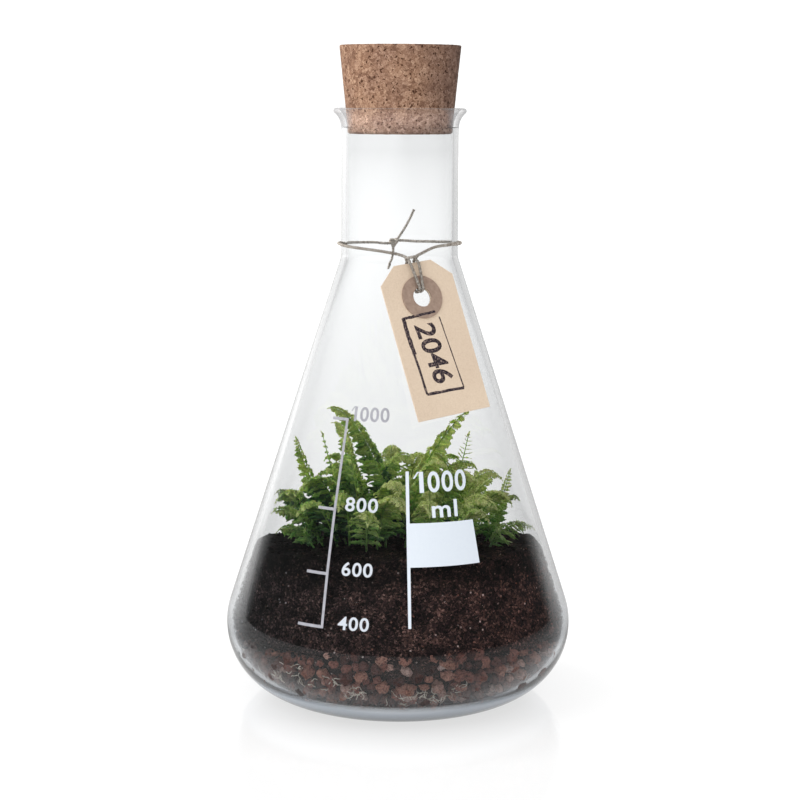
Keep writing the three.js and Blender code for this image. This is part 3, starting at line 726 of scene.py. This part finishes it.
roots = []
for _ in range(34):
    angle, z = vary(-3.14, 3.14), vary(10, 24)
    roots += root_tuft(angle, z, chance.randint(2, 6), (0.02, 1), (2, 4.5))
for angle, z, count in ((-0.57, 19, 7), (-0.4, 18.5, 7), (-0.235, 17, 8), (0.07, 16, 12), (0.3, 16, 8)):
    roots += root_tuft(angle, z, count, (0.045, 1.6), (1.6, 3.8))
root_skin = new_finish("dry_root", 0.8, 0.2)
coloured(ramp(grain(300, 3), (0.35, (0.34, 0.28, 0.22)), (0.62, (0.78, 0.72, 0.64))))
bumped(grain(3000, 2), 0.4, 0.1 * mm)
settle(joined(roots), "root_fibres", root_skin, "potting_soil")

# ---- Soil ----
# Dark peaty potting soil, pressed on the granules and banked up against the front. Crumbs lie on top and
# against the glass, where reddish bark and a few pale grains show.
soil_level, soil_bottom, fill_gap = 57.3, 29.3, 0.75


def soil_top(x, y):
    """The soil's height, banked up a little towards the front and gently uneven"""
    turn = 2 * pi
    swell = 0.9 * sin(turn * x / 33 + 0.6) * cos(turn * y / 27)
    return soil_level - 0.09 * y + swell + 0.6 * sin(turn * (x + y) / 57)


bed = turned(stepped((0, soil_bottom, 12), (inside_radius(soil_bottom), soil_bottom, 22),
                     (inside_radius(soil_level), soil_level, 38), (0, soil_level, 0)), 240)
for vertex in bed.data.vertices:
    x, y, z = vertex.co / mm
    share = hypot(x, y) / inside_radius(z)
    top_here = soil_top(x, y)
    z = soil_bottom + (z - soil_bottom) * (top_here - soil_bottom) / (soil_level - soil_bottom)
    reach = share * (inside_radius(z) - fill_gap) / max(hypot(x, y), 1e-6)
    vertex.co = Vector((x * reach, y * reach, z)) * mm
roughened(bed, 1.4 * mm, 0.9 * mm)
keep_value(bed, "tone", 0.3)
# what has trickled down among the granules
trickled = turned([(0, 6.4), (34, 6.4), (47, 9), (56, 16), (60.2, 24), (60.6, 29.6), (0, 29.6)], 90)
roughened(trickled, 2.4 * mm, 1.2 * mm)
keep_value(trickled, "tone", 0.15)

crumb_models = lumps(5, 1, 0.3, 40)
crumbs = [bed, trickled]
for _ in range(900):
    angle, reach = vary(0, 6.28), 53 * sqrt(chance.random())
    x, y = reach * cos(angle), reach * sin(angle)
    size = vary(0.3, 1)
    if hypot(x, y) < inside_radius(soil_top(x, y)) - size - 1:
        point = Vector((x, y, soil_top(x, y) + 0.1 * size)) * mm
        crumbs.append(lump_at(crumb_models, point, size * mm, 0.6 * chance.random()))
for _ in range(1500):
    angle = vary(0, 6.28)
    z = chance.triangular(gravel_top(angle) - 3, soil_level + 3, gravel_top(angle) + 1)
    size = vary(0.3, 0.7) if z > 32 else vary(0.5, 1.1)
    reach = inside_radius(z) - size - 0.15
    x, y = reach * cos(angle), reach * sin(angle)
    if z < soil_top(x, y):
        tone = chance.random() ** 3 if z > 32 else 0.3 * chance.random()
        crumbs.append(lump_at(crumb_models, Vector((x, y, z)) * mm, size * mm, tone))
put_away(crumb_models)
peat = new_finish("potting_soil", 0.9, 0.2)
_, pick = mosaic(jostled(1600, 0.0012), 1650)
peat_colour = ramp(
    pick["Red"], (0, (0.009, 0.008, 0.008)), (0.45, (0.026, 0.019, 0.017)),
    (0.7, (0.055, 0.038, 0.033)), (0.9, (0.1, 0.07, 0.06)), (1, (0.2, 0.145, 0.12)))
dusted = ramp(grain(2600, 4, 0.8), (0.38, (0.35, 0.35, 0.36)), (0.62, (1.5, 1.47, 1.45)))
broad = ramp(grain(160, 3), (0.38, (0.5, 0.46, 0.5)), (0.62, (1.5, 1.35, 1.3)))
crumb_tone = ramp(kept_value("tone"), (0, 0.4), (0.3, 1), (0.8, (1.6, 1.45, 1.35)), (0.97, (3.2, 2.9, 2.6)))
# now and then a bit of bark or a pale grain, the middle of a cell of its own
from_middle, pick = mosaic(place, 900)
rarely = ramp(pick["Red"], (0.955, 0), (0.965, 1))
core = ramp(from_middle, (0.2, 1), (0.42, 0))
bit_colour = ramp(pick["Green"], (0.3, (0.2, 0.1, 0.07)), (0.7, (0.62, 0.56, 0.5)))
peat_colour = mixed(tinted(rarely, core), tinted(peat_colour, dusted, broad, crumb_tone), bit_colour)
# painted shade darkens the top under the fern, and painted light makes the right side warmer and lighter
# than the left, which is painted darker and bluish
painted_fern_shade = ranged(place_on("Z"), 0.049, 0.056, 1, 0.35)
painted_side_light = ramp(ranged(place_on("X"), -0.055, 0.055), (0, (0.36, 0.4, 0.5)), (0.3, (0.95, 0.95, 1.05)),
                 (0.5, (1.5, 1.38, 1.45)), (1, (1.7, 1.3, 1.32)))
coloured(peat_colour, painted_fern_shade, painted_side_light)
bumped(grain(1500, 5, 0.7), 1, 0.6 * mm)
settle(joined(crumbs), "soil_bed", peat, "potting_soil", "soil")

# ---- Fern ----
# Small ladder ferns grown in the soil. Each frond is a thin green stalk that arches over, with pairs of
# lobed, slightly ruffled leaflets along it that grow smaller towards the tip.

# a frond a row: foot x y, tip x y z, the shares of its reach and rise where it bends, half width, roll
frond_rows = """\
2 0 -25.5 -1 109 0.58 1 5 0.9
-14 -8 -23.5 -6 104 0.3 0.98 4.5 0.7
-19 9 -29.5 8 98 0.5 0.5 3 0.8
-22 -2 -38.5 -3 97.5 0.8 0.66 4 -0.7
1 6 27 7 108 0.2 0.6 5 -0.9
16 6 27 9 97.5 0.7 0.6 3.5 0.8
27 -4 13.5 -5 92.5 0.5 1 5.5 0.6
17 -11 35.5 -13 85.5 0.5 0.75 6 -0.6
33 -3 42 -2 85 0.75 0.6 4.5 0.9
34 -14 49 -13 66 0.5 1.6 6 0.4
-28 -12 -46 -10 71 0.55 1.3 6.5 0.4
-12 12 5 10 88 0.45 1.2 6 0.7
-31 -21 -43 -24 67 0.5 1.5 7 0.3
-31.9 6.1 -46.7 4.9 75.3 0.6 1.1 6.5 0.29
35 6.4 46.7 11.4 72 0.5 1.3 6.5 -0.58
5.6 -2.4 28.3 4.1 86.7 0.47 1.22 5.9 -0.81
-5.4 6.1 -28.2 13.5 86.8 0.54 1.27 7.9 0.57
2.6 -9.2 17.5 -19.5 90 0.42 1.3 7.4 -0.12
7.4 7.7 23.4 25 84.9 0.29 1.33 7.1 -0.47
-11.3 -1.5 -30.5 -1.2 83.2 0.38 1.35 7.8 -0.49
13.3 -5 28.4 -26.2 85.9 0.36 1.37 7.9 -0.46
-3.6 13 -2.4 36.5 85.9 0.39 1.39 6.7 -0.05
-4.7 -14.7 0 -38.1 83.6 0.25 1.41 8.3 -0.04
14 9.7 30.7 23.8 81.3 0.33 1.43 6.6 -0.1
-14.8 10 -27.2 28.6 80 0.4 1.45 7.2 0.25
11.5 -16.3 11.3 -32.1 79.7 0.47 1.46 6.5 0.05
2.5 19 11.6 33.3 82.5 0.29 1.47 7.4 0.32
-19.8 -6.3 -35.8 -22 81.7 0.43 1.49 8.2 0.24
20.1 -2.9 39.8 5.7 80.8 0.46 1.5 5.9 0.61
-16 15.1 -30.8 30.3 74.3 0.36 1.51 7.7 -0.16
-7.9 -20.5 2.5 -45.5 79 0.29 1.53 7.7 -0.11
18.9 15 36.8 26.7 75.2 0.43 1.54 8.1 -0.21
-23.8 3 -35.7 18.6 74.4 0.41 1.55 7.3 0.28
18.3 -17 34.9 -29.3 77 0.34 1.56 7.3 0.43
0.4 25.1 7.5 44.8 74.8 0.5 1.57 7.8 -0.56
-18.1 -15.3 -21.1 -40.1 78.3 0.26 1.58 7.3 -0.17
24.9 7.9 44.1 14.5 71.7 0.27 1.59 6.6 0
-20.2 19.2 -43.6 16.8 70.8 0.39 1.6 7 0.18
11.3 -25.1 11.1 -43.9 77.5 0.54 1.61 7 -0.09
12.1 23.4 20.2 41.5 72.4 0.27 1.62 7.1 -0.51
-22.7 -13.9 -36 -29.4 74.4 0.54 1.63 8 -0.34
28.4 -8.8 41.1 -19.6 76.4 0.45 1.64 6.4 -0.56
-10.3 25.6 -4.3 42.6 72 0.45 1.65 7 -0.28
-11.6 -26.1 -10.9 -42.2 73.7 0.45 1.66 7.1 -0.25
23.8 19.1 34.8 29.9 70.5 0.45 1.67 7.1 0.05
-29.6 1.8 -46.1 -3.5 73.6 0.49 1.68 7.8 -0.31
21 -20.9 32.2 -32.8 72.9 0.55 1.69 6.5 -0.26
7.6 28.5 18.7 41.8 65.4 0.51 1.7 7.8 -0.3"""
fronds = [tuple(float(number) for number in row.split()) for row in frond_rows.split("\n")]
stalk_share, root_depth, pair_spacing, leaf_gap = 0.05, 6, 1.5, 0.6
# fronds with ways of their own: broadness, crowding and spread of their leaflets, and how far they turn over
habits = {
    1: (1.15, 1.3, 1.5), 2: (1.2, 1.3, 1.7), 3: (1, 0.7, 1.1), 4: (1.2, 0.9, 1.5), 5: (2.2, 0.45, 1.7),
    6: (0.22, 0.75, 2.2), 10: (0.4, 1.8, 1.2), 11: (1.15, 1.1, 1.15, 0.7), 13: (1.15, 1.1, 1, 0.7),
    14: (1.15, 1.1, 1.15, 0.8), 20: (1.1, 1, 1.2, 0.8), 28: (1.1, 1, 1.1, 0.6), 33: (1, 1, 1.2, 0.7),
    37: (0.45, 1.6, 1.1), 41: (1.1, 1, 1, 0.8), 46: (1.1, 1.1, 1.15, 0.9)}
# fronds that are lighter or duller than the rest
lightness = {5: 0.5, 6: 0.3, 10: -0.15, 37: -0.1}


def blade_shape(share):
    """How long the leaflets are along a frond, as a share of its half width"""
    return 1.12 * min(0.72 + 1.6 * share, 1) * (1 - 0.86 * share ** 1.15)


def leaflet_model(seed):
    """A leaflet along x with its root at the origin: length and width 1, lobed, folded up along its middle"""
    ruffle = random.Random(seed)
    cuts = {"x_subdivisions": 11, "y_subdivisions": 2}
    leaflet = added(bpy.ops.mesh.primitive_grid_add, **cuts, size=1, calc_uvs=True)
    lobes = [0.07, 0.42, 0.24, 0.5, 0.27, 0.46, 0.24, 0.4, 0.19, 0.27, 0.12, 0.03]
    phase, curl = ruffle.uniform(0, 6.28), ruffle.uniform(0.1, 0.34)
    for vertex in leaflet.data.vertices:
        x, y = vertex.co.x + 0.5, vertex.co.y
        edge_share = 2 * y
        half = lobes[round(11 * x)] * (1 + ruffle.uniform(-0.14, 0.14))
        lift = 0.2 * abs(edge_share) * (1 - x) - curl * x * x
        lift += 0.1 * abs(edge_share) * sin(11 * x + phase + 2 * y)
        vertex.co = (x, edge_share * half + 0.05 * x * sin(3 * x + phase), lift)
    shaped(leaflet, "SOLIDIFY", thickness=0.03, offset=0)
    bpy.ops.object.shade_smooth()
    return leaflet


leaflet_models = [leaflet_model(seed) for seed in range(6)]


def frond_midline(foot, tip, bend):
    """A frond's foot on the soil, the point that bends its midline, and its tip"""
    start = Vector((*foot, soil_top(*foot)))
    middle = start.lerp(Vector(tip), bend[0])
    middle.z = start.z + (tip[2] - start.z) * bend[1]
    return start, middle, Vector(tip)


def on_midline(line, share, roll):
    """A point of the midline, and there the way along it, to its side and out of the frond's face"""
    start, middle, tip = line
    point = start * (1 - share) ** 2 + middle * 2 * share * (1 - share) + tip * share ** 2
    tangent = ((middle - start) * (1 - share) + (tip - middle) * share).normalized()
    across = (tip - start).xy.normalized()
    side = Matrix.Rotation(roll, 3, tangent) @ Vector((-across.y, across.x, 0))
    return point, tangent, -side, tangent.cross(side)


def clear_of_glass(piece, gap):
    """Bend back whatever would come nearer than the gap to the inside of the glass"""
    for vertex in piece.data.vertices:
        reach = (inside_radius(vertex.co.z / mm) - gap) * mm
        if vertex.co.xy.length > reach:
            vertex.co.xy = vertex.co.xy.normalized() * reach
    return piece


def grow_frond(row, freshness_and_light, broadness=1, crowding=1, spread=1, turned_up=0):
    """A stalk with pairs of leaflets, each turned, sized and aged a little differently, with painted light on
    those higher up, further out and in the middle
    """
    foot, tip, bend, half_width, roll = row[0:2], row[2:5], row[5:7], row[7] * spread, row[8]
    line = frond_midline(foot, tip, bend)
    point, tangent, _, _ = on_midline(line, 0, roll)
    stalk_line = [(point - root_depth * tangent) * mm]
    stalk_line += [on_midline(line, i / 12, roll)[0] * mm for i in range(13)]
    route, length = smooth_route(stalk_line, 1.6 * mm)
    parts = [tube("stalk", route, lambda share, around: (0.5 - 0.36 * share) * mm, 6)]
    keep_value(parts[0], "young_and_lit", 0.5)
    pairs = max(9, round(crowding * (1 - stalk_share) * (length / mm - root_depth) / pair_spacing))
    for i in range(pairs):
        share = (i + 0.5) / pairs
        point, tangent, side, normal = on_midline(line, stalk_share + 0.94 * share, roll + turned_up * share)
        reach = half_width * blade_shape(share)
        twist = vary(-0.25, 0.25)
        for hand in (-1, 1):
            length = reach * vary(0.8, 1.12)
            along = (hand * side + 0.3 * tangent - 0.1 * normal).normalized()
            along = Matrix.Rotation(vary(-0.25, 0.25), 3, normal) @ along
            up = (normal - normal.dot(along) * along).normalized()
            up = Matrix.Rotation(twist * hand + vary(-0.5, 0.5), 3, along) @ up
            width = min(2.7, 0.42 * length + 0.75) * vary(0.8, 1.2) * broadness
            turn = Matrix((along * length, up.cross(along) * width, up * length)).transposed().to_4x4()
            place = Matrix.Translation((point + 0.2 * hand * side) * mm) @ to_metres @ turn
            leaflet = copy_at(chance.choice(leaflet_models), place)
            # painted light: leaflets higher up, further from the axis and near the middle of the crown are
            # lighter; towards the tip they are younger, and chance does the rest
            youth_and_light = freshness_and_light + (point.z - soil_level) / 60 + 0.42 * (point.xy.length / 45) ** 2
            youth_and_light += 0.12 * share + vary(-0.25, 0.25) + 0.1 * max(0, 1 - abs(point.x + 4) / 25)
            keep_value(leaflet, "young_and_lit", min(1, max(0, youth_and_light)))
            parts.append(leaflet)
    point, tangent, side, normal = on_midline(line, 0.97, roll)
    turn = Matrix((tangent * 2.2, side * 1.3, normal * 2)).transposed().to_4x4()
    parts.append(copy_at(leaflet_models[0], Matrix.Translation(point * mm) @ to_metres @ turn))
    keep_value(parts[-1], "young_and_lit", 1)
    return clear_of_glass(joined(parts), leaf_gap)


def reckoned(operation, *values, clamp=False):
    node = add_node("Math", dict(enumerate(values)), operation=operation, use_clamp=clamp)
    return node.outputs[0]


leaf = new_finish(
    "fern_leaf", 0.5, 0.35, Subsurface_Weight=0.4,
    Subsurface_Radius=(0.4 * mm, 0.8 * mm, 0.2 * mm), Subsurface_Scale=1)
leaf_colour = ramp(
    kept_value("young_and_lit"), (0, (0.016, 0.052, 0.036)), (0.2, (0.062, 0.145, 0.06)),
    (0.45, (0.2, 0.36, 0.105)), (0.75, (0.43, 0.62, 0.18)), (1, (0.63, 0.8, 0.31)))
blotch = ramp(grain(90, 3), (0.38, (0.72, 0.7, 0.66)), (0.6, (1.2, 1.15, 1.1)))
fine = ramp(grain(1500, 4), (0.35, (0.72, 0.76, 0.66)), (0.62, (1.15, 1.12, 1.05)))
# each leaflet has a light midrib and lighter edges, and painted shade makes those low in the clump dark and
# bluish
blade = add_node("TexCoord").outputs["UV"]
across_blade = add_node("SeparateXYZ", {"Vector": blade}).outputs["Y"]
from_midrib = reckoned("ABSOLUTE", reckoned("SUBTRACT", across_blade, 0.5))
vein = ramp(
    from_midrib, (0.02, (1.5, 1.4, 1.3)), (0.1, (0.85, 0.86, 0.85)), (0.3, 0.95), (0.48, (1.3, 1.25, 1.2)))
painted_clump_shade = ramp(ranged(place_on("Z"), 0.055, 0.08), (0, (0.4, 0.56, 0.85)), (0.6, (0.9, 0.95, 1.05)), (1, 1))
coloured(leaf_colour, blotch, fine, vein, painted_clump_shade)
bumped(grain(1100, 4), 0.45, 0.3 * mm)

for number, row in enumerate(fronds, 1):
    # painted light: fronds whose tips reach further right are lighter, besides their own chance and lightness
    freshness_and_light = 0.08 + 0.005 * row[2] + vary(-0.12, 0.18) + lightness.get(number, 0)
    frond = grow_frond(row, freshness_and_light, *habits.get(number, ()))
    settle(frond, f"fern_frond_{number:02d}", leaf, "fern_leaf", f"frond_{number:02d}")
put_away(leaflet_models)

# ---- Tag and its rings ----
# A cream card tag with clipped corners, hung by its hole, with a fibre ring glued on each face. The stamp on
# its front is a hand-inked frame with plain numbers.
card = new_finish("cream_card", 0.85, 0.2)
card_colour = ramp(grain(45, 3), (0.35, (0.685, 0.55, 0.425)), (0.65, (0.73, 0.595, 0.46)))
fibres = ramp(grain(2200, 4), (0.3, (0.9, 0.88, 0.85)), (0.6, 1.02))
coloured(card_colour, fibres)
bumped(grain(3500, 4), 0.4, 0.08 * mm)
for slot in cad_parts["tag"].material_slots:
    slot.material = card


def washer(outer, hole, low, high):
    """A flat ring on the tag, between two heights over the middle of the card"""
    rough_out(bpy.ops.mesh.primitive_circle_add, vertices=72, radius=hole, fill_type="NOTHING")
    bpy.ops.transform.translate(value=(0, 0, low))
    for scale in (1.5, 1.25, outer / (hole * 1.875)):
        bpy.ops.mesh.extrude_region_move()
        bpy.ops.transform.resize(value=(scale, scale, 1))
    bpy.ops.mesh.select_all(action="SELECT")
    bpy.ops.mesh.extrude_region_move(TRANSFORM_OT_translate={"value": (0, 0, high - low)})
    piece = finish_off()
    piece.data.transform(tag_place)
    return piece


ring_paper = new_finish("fibre_ring", 0.8, 0.25)
coloured(ramp(grain(700, 4), (0.3, (0.285, 0.2, 0.155)), (0.7, (0.385, 0.28, 0.22))))
bumped(grain(2600, 3), 0.4, 0.08 * mm)
ring_radius, ring_hole, card_face, ring_face = 7.9, 3.6, 0.3, 0.8
for side, low, high in (("front", card_face, ring_face), ("back", -ring_face, -card_face)):
    ring = washer(ring_radius, ring_hole, low, high)
    settle(ring, f"tag_ring_{side}_fibre", ring_paper, "ring_fibre", f"tag_ring_{side}")


def stamped_stroke(start, end, width):
    """A line of ink on the tag between two places, its two sides a little uneven"""
    (x0, y0), (x1, y1) = start, end
    length = hypot(x1 - x0, y1 - y0)
    stroke = added(bpy.ops.mesh.primitive_grid_add, x_subdivisions=8, y_subdivisions=1, size=1)
    for vertex in stroke.data.vertices:
        uneven = width * vertex.co.y * (1 + vary(-0.25, 0.25))
        share = vertex.co.x + 0.5
        vertex.co = (x0 + (x1 - x0) * share - (y1 - y0) / length * uneven,
                     y0 + (y1 - y0) * share + (x1 - x0) / length * uneven, 0)
    return stroke


def on_stamp(along, upward, _):
    """The numbers lie across the tag, read downwards and lean a little"""
    return -6.4 + 8.2 * upward + 2 * along, -9.6 - 22.4 * along, 0


low_right, low_left = (6.5, -35.2), (-8.6, -34.9)
strokes = [stamped_stroke(*stroke) for stroke in (
    ((-9.8, -6.3), (-9.2, -20), 1.5), ((-9.2, -20), low_left, 0.9), ((-9.9, -6.5), (-4.2, -6.4), 1),
    ((4.6, -8.2), low_right, 0.45), (low_left, low_right, 1))]
over_ring = stamped_stroke((-4.6, -6.4), (3.4, -6.1), 0.9)
over_ring.data.transform(Matrix.Translation((0, 0, ring_face - card_face)))
stamp = joined([laid_out(flat_text("2046", 0.02), on_stamp), *strokes, over_ring])
shaped(stamp, "SOLIDIFY", thickness=0.03)
stamp.data.transform(tag_place @ Matrix.Translation((0, 0, card_face + 0.02)))
ink = new_finish("stamp_ink", 0.75, 0.2)
coloured(ramp(grain(1500, 4, 0.7), (0.5, (0.028, 0.02, 0.03)), (0.66, (0.3, 0.22, 0.19))))
bumped(grain(3500, 4), 0.4, 0.05 * mm)
settle(stamp, "tag_stamp", ink, "tag_card")

# ---- Floor and light ----
# A smooth white table, lit from all sides so that hardly a shadow falls, in a soft white room whose light
# comes mostly from the left and above. In reflections the room is grey at the sides and dark high in front.
floor = added(bpy.ops.mesh.primitive_plane_add, size=24)
floor.name = "floor"
floor_finish = new_finish(
    "white_table", 0.002, Base_Color=(0.2, 0.2, 0.2, 1), IOR=1.6, Emission_Color=(1, 1, 1, 1))


def between(factor, first, second):
    """The first number at factor 0, the second at factor 1"""
    rise = reckoned("MULTIPLY", factor, reckoned("SUBTRACT", second, first))
    return reckoned("ADD", first, rise)


# painted shadow: the table glows less in the jar's shade and less again through its glass, and far off it
# turns as white as the room; mirrored in the glass it has a painted brightness of its own
path = add_node("LightPath").outputs
away = add_node("VectorMath", {0: object_place((0.6, 1, 1))}, operation="LENGTH").outputs["Value"]
spot = add_node("SeparateXYZ", {"Vector": place}).outputs
far_off = ranged(away, 1, 5, 0, 0.3)
glow = reckoned("ADD", ranged(away, 0.046, 0.09, 0.675, 0.8), far_off)
dimmed = ranged(spot["X"], -0.1, 0.1, 0.25, 0.32)
dimmed = reckoned("ADD", dimmed, ranged(away, 2, 7, 0, 0.29))
dimmed = reckoned("ADD", dimmed, far_off)
glow = reckoned("SUBTRACT", glow, reckoned("MULTIPLY", path["Is Transmission Ray"], dimmed))
under_glass = ranged(away, 0.055, 0.08, 0.45, 0.13)
reflected_glow = reckoned("ADD", under_glass, ranged(spot["X"], -0.5, 0.5, 0.17, 0))
once_reflected = reckoned("MINIMUM", path["Glossy Depth"], 1)
tree.links.new(between(once_reflected, glow, reflected_glow), shader.inputs["Emission Strength"])
floor.data.materials.append(floor_finish)

# the room lights the piece from the left and above, and has a brightness of its own where it is seen
# directly, through glass or in a reflection, so that the glass gets grey edges
world = bpy.data.worlds.new("white_room")
bpy.context.scene.world = world
world.use_nodes = True
tree = world.node_tree
path = add_node("LightPath").outputs
direction = add_node("TexCoord").outputs["Generated"]
way = add_node("SeparateXYZ", {"Vector": direction}).outputs
light_from = {0: direction, 1: (-0.88, -0.12, 0.46)}
towards_light = add_node("VectorMath", light_from, operation="DOT_PRODUCT")
lighting = reckoned("MULTIPLY_ADD", towards_light.outputs["Value"], 0.9, 1)
reflected = reckoned("MULTIPLY", ranged(way["Y"], 0.48, 0.82, 0.06, 1),
                     ranged(way["X"], -0.5, 0.5, 0.92, 0.68))
shown = ranged(way["X"], -0.5, -0.2, 0.62, 1.05)
shown = reckoned("MINIMUM", shown, ranged(way["X"], 0.2, 0.5, 1.05, 0.76))
backdrop = between(path["Is Transmission Ray"], 1.15, shown)
backdrop = between(reckoned("MINIMUM", path["Glossy Depth"], 1), backdrop, reflected)
looked_at = reckoned("ADD", path["Is Camera Ray"], path["Is Glossy Ray"])
looked_at = reckoned("ADD", looked_at, path["Is Transmission Ray"], clamp=True)
before_scatter = reckoned("SUBTRACT", 1, path["Diffuse Depth"], clamp=True)
looked_at = reckoned("MULTIPLY", looked_at, before_scatter)
background = tree.nodes["Background"].inputs
background["Color"].default_value = (1, 1, 1, 1)
tree.links.new(between(looked_at, lighting, backdrop), background["Strength"])
bpy.context.scene.view_settings.view_transform = "Standard"
